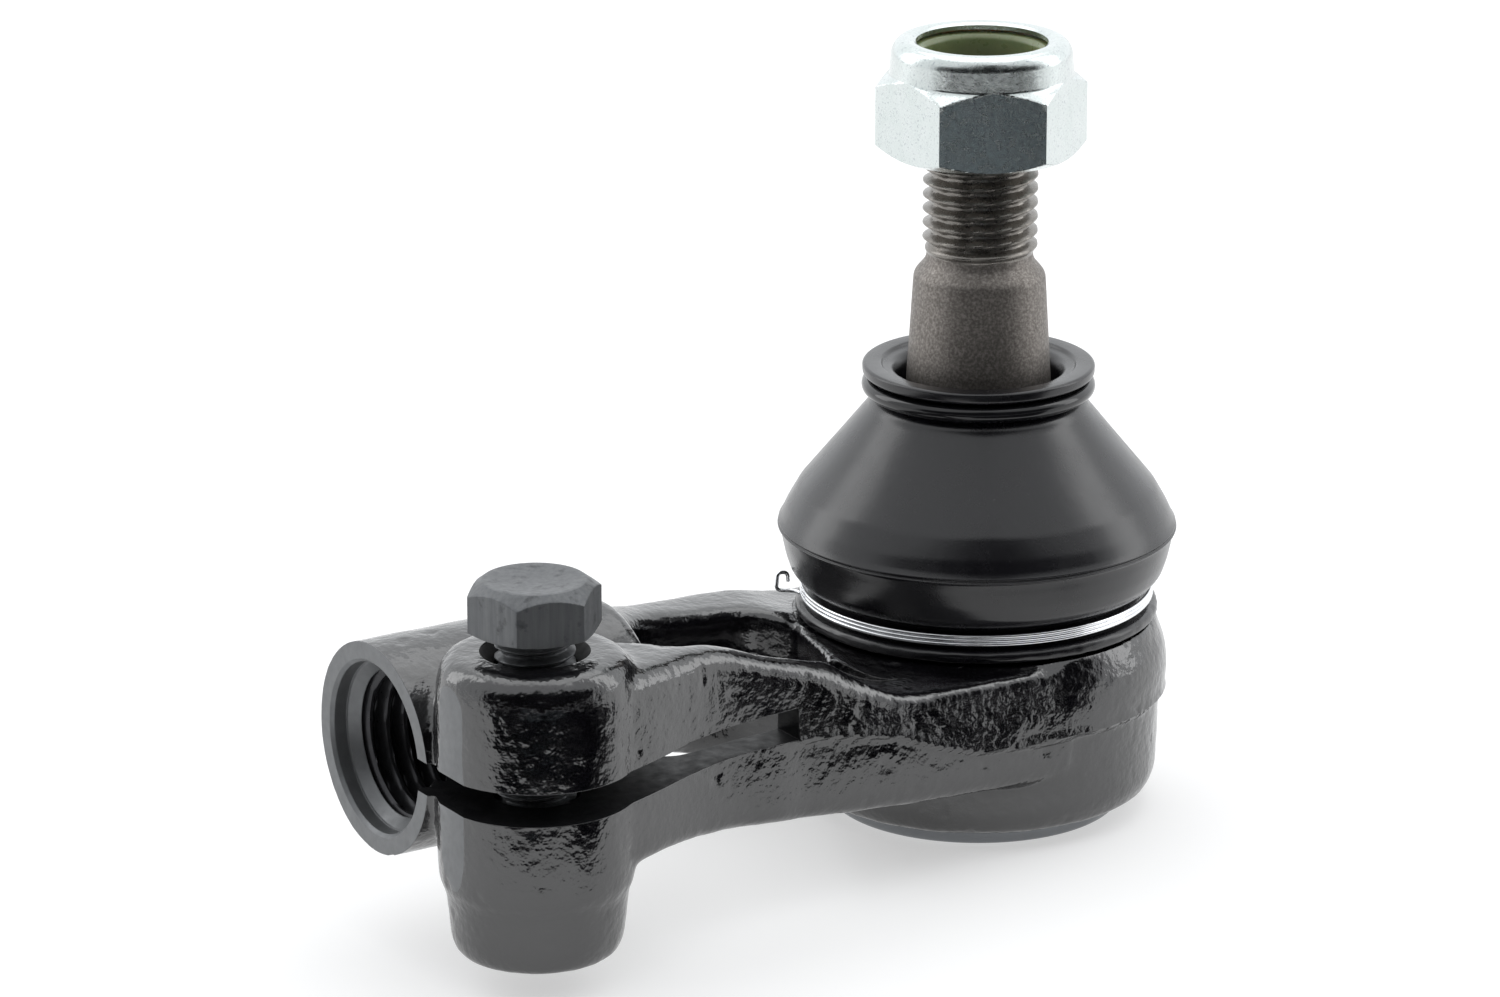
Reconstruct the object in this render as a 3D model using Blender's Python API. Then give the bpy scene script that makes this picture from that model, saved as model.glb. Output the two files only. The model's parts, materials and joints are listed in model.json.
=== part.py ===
"""Tie rod end: ball joint with a tapered stud, two-rail arm and split clamp for a threaded rod.

Frame: the stud's axis is +Z, with the origin at the centre of the end cap's bottom face.
The arm runs towards -X and the clamp's bolt ears stand on its -Y side. Lengths are in metres.
"""

import math

import bmesh
import bpy
from mathutils import Matrix, Vector

# Clearance between neighbouring pieces
GAP = 0.0003

# Ball joint
BALL_RADIUS = 0.0105
BALL_Z = 0.0150
NECK_RADIUS = 0.0064
SEAT_RADIUS = 0.0142
HOUSING_RADIUS = 0.0201
HOUSING_TOP_Z = 0.0207
HOUSING_BOTTOM_Z = 0.0020
PARTING_Z = 0.0124
COLLAR_RADIUS = 0.0156
COLLAR_TOP_Z = 0.0246
BOOT_SEAT_RADIUS = 0.0193
CAP_RADIUS = 0.0157
CAP_FLANGE_RADIUS = 0.0163
CAP_SHEET = 0.0013

# Stud, with an M12 x 1.5 thread and a 1:8 taper
THREAD_RADIUS = 0.00595
THREAD_LOW_Z = 0.0596
THREAD_TOP_Z = 0.0759
TAPER_TOP_Z = 0.0575
TAPER_TOP_RADIUS = 0.0068
TAPER_LOW_Z = 0.0459
TAPER_SLOPE = 1 / 16

# Boot
LIP_Z = 0.0479
LIP_RADIUS = 0.01208
MOUTH_RADIUS = 0.0095
BOOT_NECK_RADIUS = 0.0080
RIDGE_RADIUS = 0.0208
RIDGE_Z = 0.03075
BOOT_WALL = 0.0015
UPPER_RING_Z = 0.0457
UPPER_RING_SECTION = 0.0016
LOWER_RING_Z = 0.0233
LOWER_RING_RADIUS = 0.01855
LOWER_RING_HEIGHT = 0.0015

# Lock nut, M12 x 1.5
NUT_Z = 0.0703
NUT_HEIGHT = 0.0120
NUT_FLATS = 0.0190
NUT_TURN = math.radians(33.2)
NUT_COLLAR_RADIUS = 0.0094
NUT_HOLE_RADIUS = 0.0068

# Bore for the rod, M16 x 2, and the clamp around it
BORE_Y = -0.0050
BORE_Z = 0.0212
MOUTH_X = -0.0750
TUBE_END_X = -0.0480
TUBE_RADIUS = 0.01075
BORE_RADIUS = 0.0069
COUNTERBORE_RADIUS = 0.00865
COUNTERBORE_DEPTH = 0.0017
SLIT_HEIGHT = 0.0033
SLIT_END_X = -0.0357

# Clamp ears and the M8 pinch bolt
EAR_X = -0.0655
EAR_Y = -0.0205
EAR_TOP_Z = 0.0342
EAR_BOTTOM_Z = 0.0032
EAR_RADIUS = 0.0097
BOLT_RADIUS = 0.00395
BOLT_HEAD_Z = 0.0363
BOLT_HEAD_HEIGHT = 0.0052
BOLT_HEAD_FLATS = 0.0117
BOLT_LENGTH = 0.0300
BOLT_TURN = math.radians(-15.35)

FINE = 40
COARSE = 24
BALL_STEPS = 6


def clear_scene():
    for obj in list(bpy.data.objects):
        bpy.data.objects.remove(obj, do_unlink=True)


def material(name, colour, roughness, metallic):
    found = bpy.data.materials.get(name)
    if found:
        return found
    made = bpy.data.materials.new(name)
    made.use_nodes = True
    shader = made.node_tree.nodes["Principled BSDF"]
    shader.inputs["Base Color"].default_value = (*colour, 1.0)
    shader.inputs["Roughness"].default_value = roughness
    shader.inputs["Metallic"].default_value = metallic
    return made


def black_paint():
    return material("black_paint", (0.022, 0.021, 0.024), 0.32, 0.0)


def dark_steel():
    return material("dark_steel", (0.16, 0.145, 0.13), 0.42, 0.9)


def bright_zinc():
    return material("bright_zinc", (0.72, 0.75, 0.76), 0.22, 1.0)


def black_rubber():
    return material("black_rubber", (0.020, 0.020, 0.022), 0.45, 0.0)


def bolt_black():
    return material("bolt_black", (0.035, 0.036, 0.038), 0.48, 0.6)


def cap_steel():
    return material("cap_steel", (0.055, 0.062, 0.070), 0.38, 0.6)


def spring_wire():
    return material("spring_wire", (0.80, 0.81, 0.82), 0.18, 1.0)


def nylon():
    return material("nylon", (0.36, 0.37, 0.18), 0.40, 0.0)


def seat_plastic():
    return material("seat_plastic", (0.80, 0.78, 0.70), 0.45, 0.0)


def add_object(name, mesh_bm, surface, origin=(0, 0, 0)):
    """Make an object whose mesh was built in world space, with its origin at the given point."""
    bmesh.ops.recalc_face_normals(mesh_bm, faces=mesh_bm.faces)
    bmesh.ops.translate(mesh_bm, verts=mesh_bm.verts, vec=-Vector(origin))
    mesh = bpy.data.meshes.new(name)
    mesh_bm.to_mesh(mesh)
    mesh_bm.free()
    mesh.shade_smooth()
    mesh.set_sharp_from_angle(angle=math.radians(32))
    obj = bpy.data.objects.new(name, mesh)
    obj.location = origin
    obj.data.materials.append(surface)
    bpy.context.scene.collection.objects.link(obj)
    return obj


def as_helper(obj):
    obj.hide_render = True
    obj.display_type = "WIRE"
    return obj


def combine(target, helper, operation):
    modifier = target.modifiers.new(f"{operation.title()} {helper.name}", "BOOLEAN")
    modifier.object = as_helper(helper)
    modifier.operation = operation
    modifier.solver = "EXACT"


def attach(child, parent):
    child.parent = parent
    child.matrix_parent_inverse = Matrix.Translation(-parent.location)


def turned_mesh(profile, steps, centre=(0, 0), twist=0.0):
    """Turn (radius, height) points about a vertical axis. A profile that starts and ends on the
    axis gives a solid piece, and any other closes on itself as a ring. A twist of half a step
    keeps the facet lines of two coaxial shapes apart, so that a Boolean meets no doubled edges."""
    made = bmesh.new()
    rings = []
    for radius, height in profile:
        count = steps if radius > 0 else 1
        ring = []
        for step in range(count):
            angle = math.tau * (step + twist) / steps
            x = centre[0] + radius * math.cos(angle)
            y = centre[1] + radius * math.sin(angle)
            ring.append(made.verts.new((x, y, height)))
        rings.append(ring)
    pairs = list(zip(rings, rings[1:]))
    if len(rings[0]) > 1:
        pairs.append((rings[-1], rings[0]))
    for first, second in pairs:
        for step in range(steps):
            after = (step + 1) % steps
            corners = [first[step % len(first)], first[after % len(first)]]
            corners += [second[after % len(second)], second[step % len(second)]]
            made.faces.new(list(dict.fromkeys(corners)))
    return made


def turned(name, profile, surface, steps=FINE, origin=(0, 0, 0), centre=(0, 0)):
    return add_object(name, turned_mesh(profile, steps, centre), surface, origin)


def turned_helper(name, profile, steps=FINE, centre=(0, 0)):
    return add_object(name, turned_mesh(profile, steps, centre, 0.5), black_paint())


def prism_mesh(outline, low, high, place):
    """Extrude a flat outline from low to high. place(u, v, w) turns it into a point."""
    made = bmesh.new()
    bottom = [made.verts.new(place(u, v, low)) for u, v in outline]
    top = [made.verts.new(place(u, v, high)) for u, v in outline]
    made.faces.new(bottom)
    made.faces.new(top)
    for index, corner in enumerate(bottom):
        after = (index + 1) % len(bottom)
        made.faces.new([corner, bottom[after], top[after], top[index]])
    return made


def plan_prism(name, outline, low, high):
    mesh_bm = prism_mesh(outline, low, high, lambda u, v, w: (u, v, w))
    return add_object(name, mesh_bm, black_paint())


def side_prism(name, outline, low, high):
    mesh_bm = prism_mesh(outline, low, high, lambda u, v, w: (u, w, v))
    return add_object(name, mesh_bm, black_paint())


def hexagon(flats, turn):
    corner = flats / math.sqrt(3)
    angles = [turn + math.tau * step / 6 for step in range(6)]
    return [(corner * math.cos(angle), corner * math.sin(angle)) for angle in angles]


def arc(centre, radius, start, end, steps):
    """Points of an arc, in degrees from the first axis, both ends included."""
    points = []
    for step in range(steps + 1):
        angle = math.radians(start + (end - start) * step / steps)
        points.append((centre[0] + radius * math.cos(angle), centre[1] + radius * math.sin(angle)))
    return points


def along_x(name, sections, twist):
    """Turn (radius, x) sections about the bore's axis into a solid piece."""
    mesh_bm = turned_mesh(sections, FINE, twist=twist)
    to_bore = Matrix.Translation((0, BORE_Y, BORE_Z)) @ Matrix.Rotation(math.pi / 2, 4, "Y")
    bmesh.ops.transform(mesh_bm, matrix=to_bore, verts=mesh_bm.verts)
    return add_object(name, mesh_bm, black_paint())


def soften(obj, width):
    bevel = obj.modifiers.new("Soft edges", "BEVEL")
    bevel.width = width
    bevel.segments = 2
    bevel.limit_method = "ANGLE"
    bevel.angle_limit = math.radians(40)


def housing_outside():
    corner = arc((HOUSING_RADIUS - 0.0031, HOUSING_BOTTOM_Z + 0.0021), 0.0021, -90, 0, 4)
    profile = [(0, HOUSING_BOTTOM_Z), *corner]
    profile += [
        (HOUSING_RADIUS - 0.0008, PARTING_Z - 0.0006),
        (HOUSING_RADIUS - 0.0001, PARTING_Z),
        (HOUSING_RADIUS, HOUSING_TOP_Z - 0.0050),
        (HOUSING_RADIUS - 0.0004, HOUSING_TOP_Z - 0.0022),
        (HOUSING_RADIUS - 0.0010, HOUSING_TOP_Z),
        (COLLAR_RADIUS, HOUSING_TOP_Z),
        (COLLAR_RADIUS, COLLAR_TOP_Z),
        (0, COLLAR_TOP_Z),
    ]
    return turned("forged_body", profile, black_paint())


def housing_cavity():
    """The ball's room: cap pocket, seat pocket, and the throat that the stud swings in."""
    profile = [
        (0, HOUSING_BOTTOM_Z - 0.0010),
        (CAP_RADIUS + GAP, HOUSING_BOTTOM_Z - 0.0010),
        (CAP_RADIUS + GAP, 0.0033),
        (CAP_FLANGE_RADIUS + GAP, 0.0033),
        (CAP_FLANGE_RADIUS + GAP, 0.0054),
        (SEAT_RADIUS + GAP, 0.0054),
        (SEAT_RADIUS + GAP, 0.0192),
        (0.0100, 0.0192),
        (0.0096, HOUSING_TOP_Z),
        (0.0132, COLLAR_TOP_Z + 0.0010),
        (0, COLLAR_TOP_Z + 0.0010),
    ]
    return turned_helper("cavity_cutter", profile)


def boot_seat_cutter():
    """The flat that is turned around the collar, where the boot's bead sits."""
    low = HOUSING_TOP_Z + 0.00005
    inner = COLLAR_RADIUS + 0.0001
    profile = [(inner, low), (BOOT_SEAT_RADIUS, low), (BOOT_SEAT_RADIUS, 0.0400), (inner, 0.0400)]
    return turned_helper("boot_seat_cutter", profile)


def clamp_ears():
    """Upper and lower bolt ear as one turned boss. The slit parts them later."""
    slit_top = BORE_Z + SLIT_HEIGHT / 2
    profile = [
        (0, EAR_BOTTOM_Z),
        (EAR_RADIUS - 0.0024, EAR_BOTTOM_Z),
        (EAR_RADIUS - 0.0014, EAR_BOTTOM_Z + 0.0010),
        (EAR_RADIUS - 0.0007, 0.0098),
        (EAR_RADIUS - 0.0001, 0.0112),
        (EAR_RADIUS, slit_top),
        (EAR_RADIUS - 0.0002, EAR_TOP_Z - 0.0012),
        (EAR_RADIUS - 0.0012, EAR_TOP_Z),
        (0, EAR_TOP_Z),
    ]
    return turned_helper("ears", profile, COARSE, (EAR_X, EAR_Y))


def rail(name, plan, side):
    """One rail of the arm: its plan outline cut to its side outline."""
    body = plan_prism(name, plan, 0, 0.040)
    combine(body, side_prism(f"{name}_side", side, -0.040, 0.030), "INTERSECT")
    soften(body, 0.0014)
    return body


def front_rail():
    """The split rail, from the ears along the housing's near side."""
    plan = [
        (-0.0620, -0.0290), (-0.0560, -0.0268), (-0.0500, -0.0242), (-0.0440, -0.0223),
        (-0.0370, -0.0216), (-0.0200, -0.0208), (0.0000, -0.0200), (-0.0020, -0.0060),
        (-0.0215, -0.0020), (-0.0240, -0.0085), (-0.0270, -0.0130), (-0.0310, -0.0160),
        (-0.0360, -0.0174), (-0.0420, -0.0180), (-0.0480, -0.0190), (-0.0530, -0.0160),
        (-0.0620, -0.0120),
    ]
    side = [
        (-0.0640, 0.0126), (-0.0530, 0.0125), (-0.0450, 0.0116), (-0.0360, 0.0106),
        (-0.0280, 0.0096), (0.0010, 0.0078), (0.0010, 0.0200), (-0.0150, 0.0206),
        (-0.0210, 0.0226), (-0.0270, 0.0250), (-0.0330, 0.0264), (-0.0390, 0.0283),
        (-0.0455, 0.0308), (-0.0520, 0.0318), (-0.0640, 0.0324),
    ]
    return rail("front_rail", plan, side)


def back_rail():
    """The solid rail, from the bore's tube along the housing's far side."""
    plan = [
        (-0.0060, 0.0192), (-0.0180, 0.0186), (-0.0260, 0.0176), (-0.0320, 0.0160),
        (-0.0380, 0.0134), (-0.0440, 0.0095), (-0.0500, 0.0060), (-0.0570, 0.0045),
        (-0.0570, -0.0100), (-0.0490, -0.0120), (-0.0465, -0.0040), (-0.0410, 0.0040),
        (-0.0350, 0.0086), (-0.0280, 0.0097), (-0.0220, 0.0090), (-0.0190, 0.0060),
        (-0.0060, 0.0060),
    ]
    side = [
        (-0.0600, 0.0115), (-0.0480, 0.0115), (-0.0420, 0.0110), (-0.0380, 0.0100),
        (-0.0340, 0.0082), (-0.0290, 0.0066), (-0.0220, 0.0054), (-0.0020, 0.0050),
        (-0.0020, 0.0200), (-0.0140, 0.0204), (-0.0190, 0.0215), (-0.0300, 0.0226),
        (-0.0360, 0.0239), (-0.0420, 0.0263),
        (-0.0470, 0.0290), (-0.0520, 0.0306), (-0.0600, 0.0306),
    ]
    return rail("back_rail", plan, side)


def bore_cutter():
    step_x = MOUTH_X + COUNTERBORE_DEPTH
    sections = [
        (0, MOUTH_X - 0.0020),
        (COUNTERBORE_RADIUS, MOUTH_X - 0.0020),
        (COUNTERBORE_RADIUS, step_x),
        (BORE_RADIUS, step_x + 0.0010),
        (BORE_RADIUS, TUBE_END_X + 0.0020),
        (0, TUBE_END_X + 0.0020),
    ]
    return along_x("bore_cutter", sections, 0.5)


def slit_cutter():
    outline = [(-0.0800, BORE_Y), (SLIT_END_X, BORE_Y), (SLIT_END_X, -0.0360), (-0.0800, -0.0360)]
    low = BORE_Z - SLIT_HEIGHT / 2
    return plan_prism("slit_cutter", outline, low, low + SLIT_HEIGHT)


def bolt_hole_cutter():
    radius = BOLT_RADIUS + 0.00035
    profile = [
        (0, 0), (radius, 0), (radius, EAR_TOP_Z - 0.0006), (radius + 0.0008, EAR_TOP_Z + 0.0002),
        (radius + 0.0008, EAR_TOP_Z + 0.0100), (0, EAR_TOP_Z + 0.0100),
    ]
    mesh_bm = turned_mesh(profile, COARSE, (EAR_X, EAR_Y))
    return add_object("bolt_hole_cutter", mesh_bm, black_paint())


def make_forged_body():
    body = housing_outside()
    tube = [(0, MOUTH_X), (TUBE_RADIUS, MOUTH_X), (TUBE_RADIUS, TUBE_END_X), (0, TUBE_END_X)]
    combine(body, front_rail(), "UNION")
    combine(body, back_rail(), "UNION")
    combine(body, along_x("tube", tube, 0.0), "UNION")
    combine(body, clamp_ears(), "UNION")
    combine(body, boot_seat_cutter(), "DIFFERENCE")
    combine(body, housing_cavity(), "DIFFERENCE")
    combine(body, bore_cutter(), "DIFFERENCE")
    combine(body, slit_cutter(), "DIFFERENCE")
    combine(body, bolt_hole_cutter(), "DIFFERENCE")
    return body


def make_end_cap():
    """Pressed cap: a shallow pan with the flange that the housing's edge holds."""
    profile = [
        (0, 0),
        (CAP_RADIUS - 0.0010, 0),
        (CAP_RADIUS - 0.0003, 0.0003),
        (CAP_RADIUS, 0.0010),
        (CAP_RADIUS, 0.0036),
        (CAP_FLANGE_RADIUS, 0.0036),
        (CAP_FLANGE_RADIUS, 0.0049),
        (CAP_RADIUS - CAP_SHEET, 0.0049),
        (CAP_RADIUS - CAP_SHEET, CAP_SHEET),
        (0, CAP_SHEET),
    ]
    return turned("end_cap", profile, cap_steel())


def make_preload_spring():
    """Conical disc spring between the cap's floor and the lower seat."""
    low = CAP_SHEET + GAP
    profile = [(0.0040, low + 0.0005), (0.0105, low), (0.0105, low + 0.0006), (0.0040, low + 0.0011)]
    return turned("preload_spring", profile, dark_steel(), COARSE)


def bowl(radius, start, end):
    """Arc of the room around the ball, in degrees up from its equator."""
    return arc((0, BALL_Z), radius, start, end, BALL_STEPS)


def make_lower_seat():
    underside = CAP_SHEET + 2 * GAP + 0.0012
    curve = bowl(BALL_RADIUS + GAP, -90, -25)
    curve[0] = (0, curve[0][1])
    outer = CAP_RADIUS - CAP_SHEET - GAP
    profile = [(0, underside), (outer - 0.0010, underside), (outer, underside + 0.0010)]
    profile += [(outer, curve[-1][1]), *reversed(curve)]
    return turned("lower_ball_seat", profile, seat_plastic())


def make_upper_seat():
    top = HOUSING_TOP_Z - 0.0018
    top_angle = math.degrees(math.asin((top - BALL_Z) / (BALL_RADIUS + GAP)))
    curve = bowl(BALL_RADIUS + GAP, -19, top_angle)
    profile = [(SEAT_RADIUS, curve[0][1]), (SEAT_RADIUS, top), *reversed(curve)]
    return turned("upper_ball_seat", profile, seat_plastic())


def make_ball_stud():
    """Ball, neck, taper and thread, turned as one piece, with a centre drilling in its end."""
    neck_angle = math.degrees(math.acos(NECK_RADIUS / BALL_RADIUS))
    ball = arc((0, BALL_Z), BALL_RADIUS, -90, neck_angle, 2 * BALL_STEPS)
    ball[0] = (0, ball[0][1])
    taper_low_radius = TAPER_TOP_RADIUS + (TAPER_TOP_Z - TAPER_LOW_Z) * TAPER_SLOPE
    profile = ball + [
        (NECK_RADIUS, 0.0300),
        (taper_low_radius - 0.0003, 0.0400),
        (taper_low_radius, TAPER_LOW_Z),
        (TAPER_TOP_RADIUS, TAPER_TOP_Z),
        (TAPER_TOP_RADIUS - 0.0002, TAPER_TOP_Z + 0.0004),
        (THREAD_RADIUS - 0.0004, TAPER_TOP_Z + 0.0015),
        (THREAD_RADIUS - 0.0004, THREAD_LOW_Z - 0.0004),
        (THREAD_RADIUS, THREAD_LOW_Z),
        (THREAD_RADIUS, THREAD_TOP_Z - 0.0009),
        (THREAD_RADIUS - 0.0009, THREAD_TOP_Z),
        (0.0016, THREAD_TOP_Z),
        (0, THREAD_TOP_Z - 0.0014),
    ]
    return turned("ball_stud", profile, dark_steel(), origin=(0, 0, BALL_Z))


def boot_outside():
    """Outer line of the boot from its lower bead up to the lip, as (radius, height)."""
    bead = [
        (0.0189, HOUSING_TOP_Z + GAP),
        (0.0189, LOWER_RING_Z - 0.0010),
        (0.0176, LOWER_RING_Z - 0.0009),
        (0.0176, LOWER_RING_Z + 0.0010),
    ]
    belly = [(0.0186, 0.0250), (0.0197, 0.0268), (0.0202, 0.0286), (RIDGE_RADIUS, RIDGE_Z)]
    shoulder = [(0.0202, 0.0323), (0.0189, 0.0345), (0.0169, 0.0367)]
    cone = [(0.0114, 0.0436), (0.0104, 0.0446), (0.0104, 0.0466)]
    lip = [(LIP_RADIUS, LIP_Z - 0.0013), (LIP_RADIUS, LIP_Z)]
    return bead + belly + shoulder + cone + lip


def boot_inside():
    mouth = [(MOUTH_RADIUS, LIP_Z), (BOOT_NECK_RADIUS, LIP_Z - 0.0024), (BOOT_NECK_RADIUS, 0.0440)]
    wall = [
        (0.0156, 0.0355),
        (RIDGE_RADIUS - BOOT_WALL, RIDGE_Z),
        (0.0197 - BOOT_WALL, 0.0268),
        (COLLAR_RADIUS + GAP, COLLAR_TOP_Z + 0.0008),
        (COLLAR_RADIUS + GAP, HOUSING_TOP_Z + GAP),
    ]
    return mouth + wall


def make_boot():
    return turned("dust_boot", boot_outside() + boot_inside(), black_rubber(), origin=(0, 0, BALL_Z))


def make_upper_ring():
    half = UPPER_RING_SECTION / 2
    section = arc((0.01215 - half, UPPER_RING_Z - 0.0002), half, 0, 315, 7)
    return turned("boot_upper_ring", section, black_rubber(), origin=(0, 0, BALL_Z))


def make_lower_ring():
    """Envelope of the wound wire that holds the boot's bead in its groove."""
    inner = 0.0176 + GAP
    low = LOWER_RING_Z - LOWER_RING_HEIGHT / 2 + 0.0002
    high = low + LOWER_RING_HEIGHT
    section = [(inner, low), (LOWER_RING_RADIUS, low), (LOWER_RING_RADIUS, high), (inner, high)]
    return turned("boot_lower_ring", section, spring_wire())


def make_lock_nut():
    """Hexagon with a round collar. The collar's groove holds the nylon ring."""
    corner = NUT_FLATS / math.sqrt(3)
    top = NUT_Z + NUT_HEIGHT
    outline = hexagon(NUT_FLATS, NUT_TURN)
    mesh_bm = prism_mesh(outline, NUT_Z, top, lambda u, v, w: (u, v, w))
    nut = add_object("lock_nut", mesh_bm, bright_zinc(), (0, 0, NUT_Z))
    envelope = [
        (0, NUT_Z), (corner - 0.0018, NUT_Z), (corner, NUT_Z + 0.0010), (corner, top - 0.0045),
        (NUT_COLLAR_RADIUS + 0.0002, top - 0.0030), (NUT_COLLAR_RADIUS, top - 0.0012),
        (NUT_COLLAR_RADIUS - 0.0004, top - 0.0004), (NUT_COLLAR_RADIUS - 0.0012, top), (0, top),
    ]
    combine(nut, turned_helper("nut_envelope", envelope), "INTERSECT")
    thread = THREAD_RADIUS + GAP
    hole = [
        (0, NUT_Z - 0.0010), (thread + 0.0016, NUT_Z - 0.0010), (thread, NUT_Z + 0.0006),
        (thread, top - 0.0039), (0.0083, top - 0.0039), (0.0083, top - 0.0008),
        (NUT_HOLE_RADIUS, top - 0.0008), (NUT_HOLE_RADIUS + 0.0004, top + 0.0010), (0, top + 0.0010),
    ]
    combine(nut, turned("nut_hole", hole, bright_zinc()), "DIFFERENCE")
    return nut


def make_nylon_ring():
    """Locking ring, bored clear of the thread here. On the real nut the thread bites into it."""
    top = NUT_Z + NUT_HEIGHT
    inner = THREAD_RADIUS + GAP
    low = top - 0.0039 + GAP
    high = top - 0.0008 - GAP
    section = [(inner, low), (0.0083 - GAP, low), (0.0083 - GAP, high), (inner, high)]
    return turned("nylon_ring", section, nylon(), COARSE, (0, 0, NUT_Z))


def make_pinch_bolt():
    corner = BOLT_HEAD_FLATS / math.sqrt(3)
    head_top = BOLT_HEAD_Z + BOLT_HEAD_HEIGHT
    tip = BOLT_HEAD_Z - BOLT_LENGTH
    outline = [(EAR_X + u, EAR_Y + v) for u, v in hexagon(BOLT_HEAD_FLATS, BOLT_TURN)]
    mesh_bm = prism_mesh(outline, BOLT_HEAD_Z, head_top, lambda u, v, w: (u, v, w))
    origin = (EAR_X, EAR_Y, BOLT_HEAD_Z)
    centre = (EAR_X, EAR_Y)
    bolt = add_object("pinch_bolt", mesh_bm, bolt_black(), origin)
    envelope = [
        (0, BOLT_HEAD_Z), (corner, BOLT_HEAD_Z), (corner, head_top - 0.0009),
        (corner - 0.0014, head_top), (0, head_top),
    ]
    combine(bolt, turned_helper("head_envelope", envelope, COARSE, centre), "INTERSECT")
    shank = [
        (0, tip), (BOLT_RADIUS - 0.0008, tip), (BOLT_RADIUS, tip + 0.0008),
        (BOLT_RADIUS, BOLT_HEAD_Z + 0.0010), (0, BOLT_HEAD_Z + 0.0010),
    ]
    combine(bolt, turned("shank", shank, bolt_black(), COARSE, centre=centre), "UNION")
    return bolt


def main():
    clear_scene()
    body = make_forged_body()
    for piece in (make_end_cap(), make_preload_spring(), make_lower_seat(), make_upper_seat()):
        attach(piece, body)
    attach(make_lower_ring(), body)
    attach(make_pinch_bolt(), body)
    boot = make_boot()
    attach(boot, body)
    upper_ring = make_upper_ring()
    attach(upper_ring, boot)
    stud = make_ball_stud()
    attach(stud, upper_ring)
    nylon_ring = make_nylon_ring()
    attach(nylon_ring, stud)
    attach(make_lock_nut(), nylon_ring)


main()
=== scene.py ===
"""Looks of the tie rod end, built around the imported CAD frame.

Lengths in outlines and profiles are in millimetres and are turned into metres as the meshes are made.
The stud's axis is +Z, the arm runs towards -X, and the clamp's ears stand on the -Y side.
"""

import json
import math

import bmesh
import bpy
import numpy as np
from mathutils import Matrix, Vector, noise


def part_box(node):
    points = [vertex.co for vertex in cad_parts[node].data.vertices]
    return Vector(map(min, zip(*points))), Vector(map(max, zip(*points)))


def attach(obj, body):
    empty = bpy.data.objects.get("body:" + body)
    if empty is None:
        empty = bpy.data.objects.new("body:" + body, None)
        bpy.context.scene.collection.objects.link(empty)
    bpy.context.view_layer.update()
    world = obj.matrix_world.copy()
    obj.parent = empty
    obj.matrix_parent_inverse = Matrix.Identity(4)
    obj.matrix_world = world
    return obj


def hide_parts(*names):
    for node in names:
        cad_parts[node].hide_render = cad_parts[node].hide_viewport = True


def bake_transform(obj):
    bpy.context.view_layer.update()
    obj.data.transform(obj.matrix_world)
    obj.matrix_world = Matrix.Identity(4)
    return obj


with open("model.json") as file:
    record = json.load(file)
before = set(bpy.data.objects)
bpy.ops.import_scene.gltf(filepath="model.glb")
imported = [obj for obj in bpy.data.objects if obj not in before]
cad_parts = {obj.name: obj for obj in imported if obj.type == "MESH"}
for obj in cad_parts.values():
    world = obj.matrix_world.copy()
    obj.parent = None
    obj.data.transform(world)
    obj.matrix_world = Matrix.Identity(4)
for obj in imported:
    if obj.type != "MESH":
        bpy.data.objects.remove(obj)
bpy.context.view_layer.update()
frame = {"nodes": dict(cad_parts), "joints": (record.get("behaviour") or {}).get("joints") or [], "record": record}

MM = 0.001
RECORD = frame["record"]
JOINTS = {joint["name"]: joint for joint in frame["joints"]}
MOUNTS = {mount["name"]: mount for mount in RECORD["mounts"]}


def high(node):
    """Top of a CAD node, in millimetres."""
    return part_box(node)[1].z / MM


def low(node):
    """Underside of a CAD node, in millimetres."""
    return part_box(node)[0].z / MM


def reach(node):
    """Largest X of a CAD node, in millimetres: the radius of a piece turned about the stud's axis."""
    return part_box(node)[1].x / MM


# Sizes that come from the frame
BOLT_LOW, BOLT_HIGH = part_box("pinch_bolt")
BOLT_X = (BOLT_LOW.x + BOLT_HIGH.x) / 2 / MM
BOLT_Y = (BOLT_LOW.y + BOLT_HIGH.y) / 2 / MM
MOUTH_X = MOUNTS["rod_face"]["pos_m"][0] / MM
BORE_Z = MOUNTS["rod_face"]["pos_m"][2] / MM
BORE_Y = -5.0
BALL_Z = JOINTS["stud_tilt"]["pos_m"][2] / MM
BALL_RADIUS = 10.5
NECK_RADIUS = 6.4
NUT_Z = low("lock_nut")
NUT_TOP = high("lock_nut")
STUD_TOP = high("ball_stud")
LIP_Z = high("dust_boot")
CAP_RADIUS = 15.7
NUT_FLATS = 19.0
BOLT_FLATS = 11.7

# Sizes of the fine detail
STUD_PITCH = 1.5
BORE_PITCH = 2.0
BOLT_PITCH = 1.25
SLIT_HALF = 1.65
SLIT_END_X = -35.7
EAR_TOP = 34.2
EAR_BOTTOM = 3.2
HOUSING_TOP = 20.7
KINK_Z = 15.6
THREAD_START_Z = 59.75
BOLT_HEAD_Z = 36.3
NUT_TURN = 33.2
BOLT_TURN = -15.35
FINE = 192
VOXEL = 0.4
HEX_STEPS = 240

# Camera: its place around the stud's axis in metres and degrees, and where it points
CAMERA_DISTANCE = 0.6471
CAMERA_HEIGHT = 0.2399
CAMERA_AZIMUTH = math.radians(34.3)
CAMERA_PITCH = math.radians(90 - 17.75)
CAMERA_TURN = math.radians(-32.2)

# Studio
FACING_AZIMUTH = math.radians(33)
FLOOR_HALF = 4000
FLOOR_DROP = 0.00002
BAND_TURN = 0.14
BAND_HALF_WIDTH = 1.34
BAND_EDGE = 0.12
BAND_TOP = 0.81
BAND_FULL = 0.39


# ---------------------------------------------------------------- camera


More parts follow.
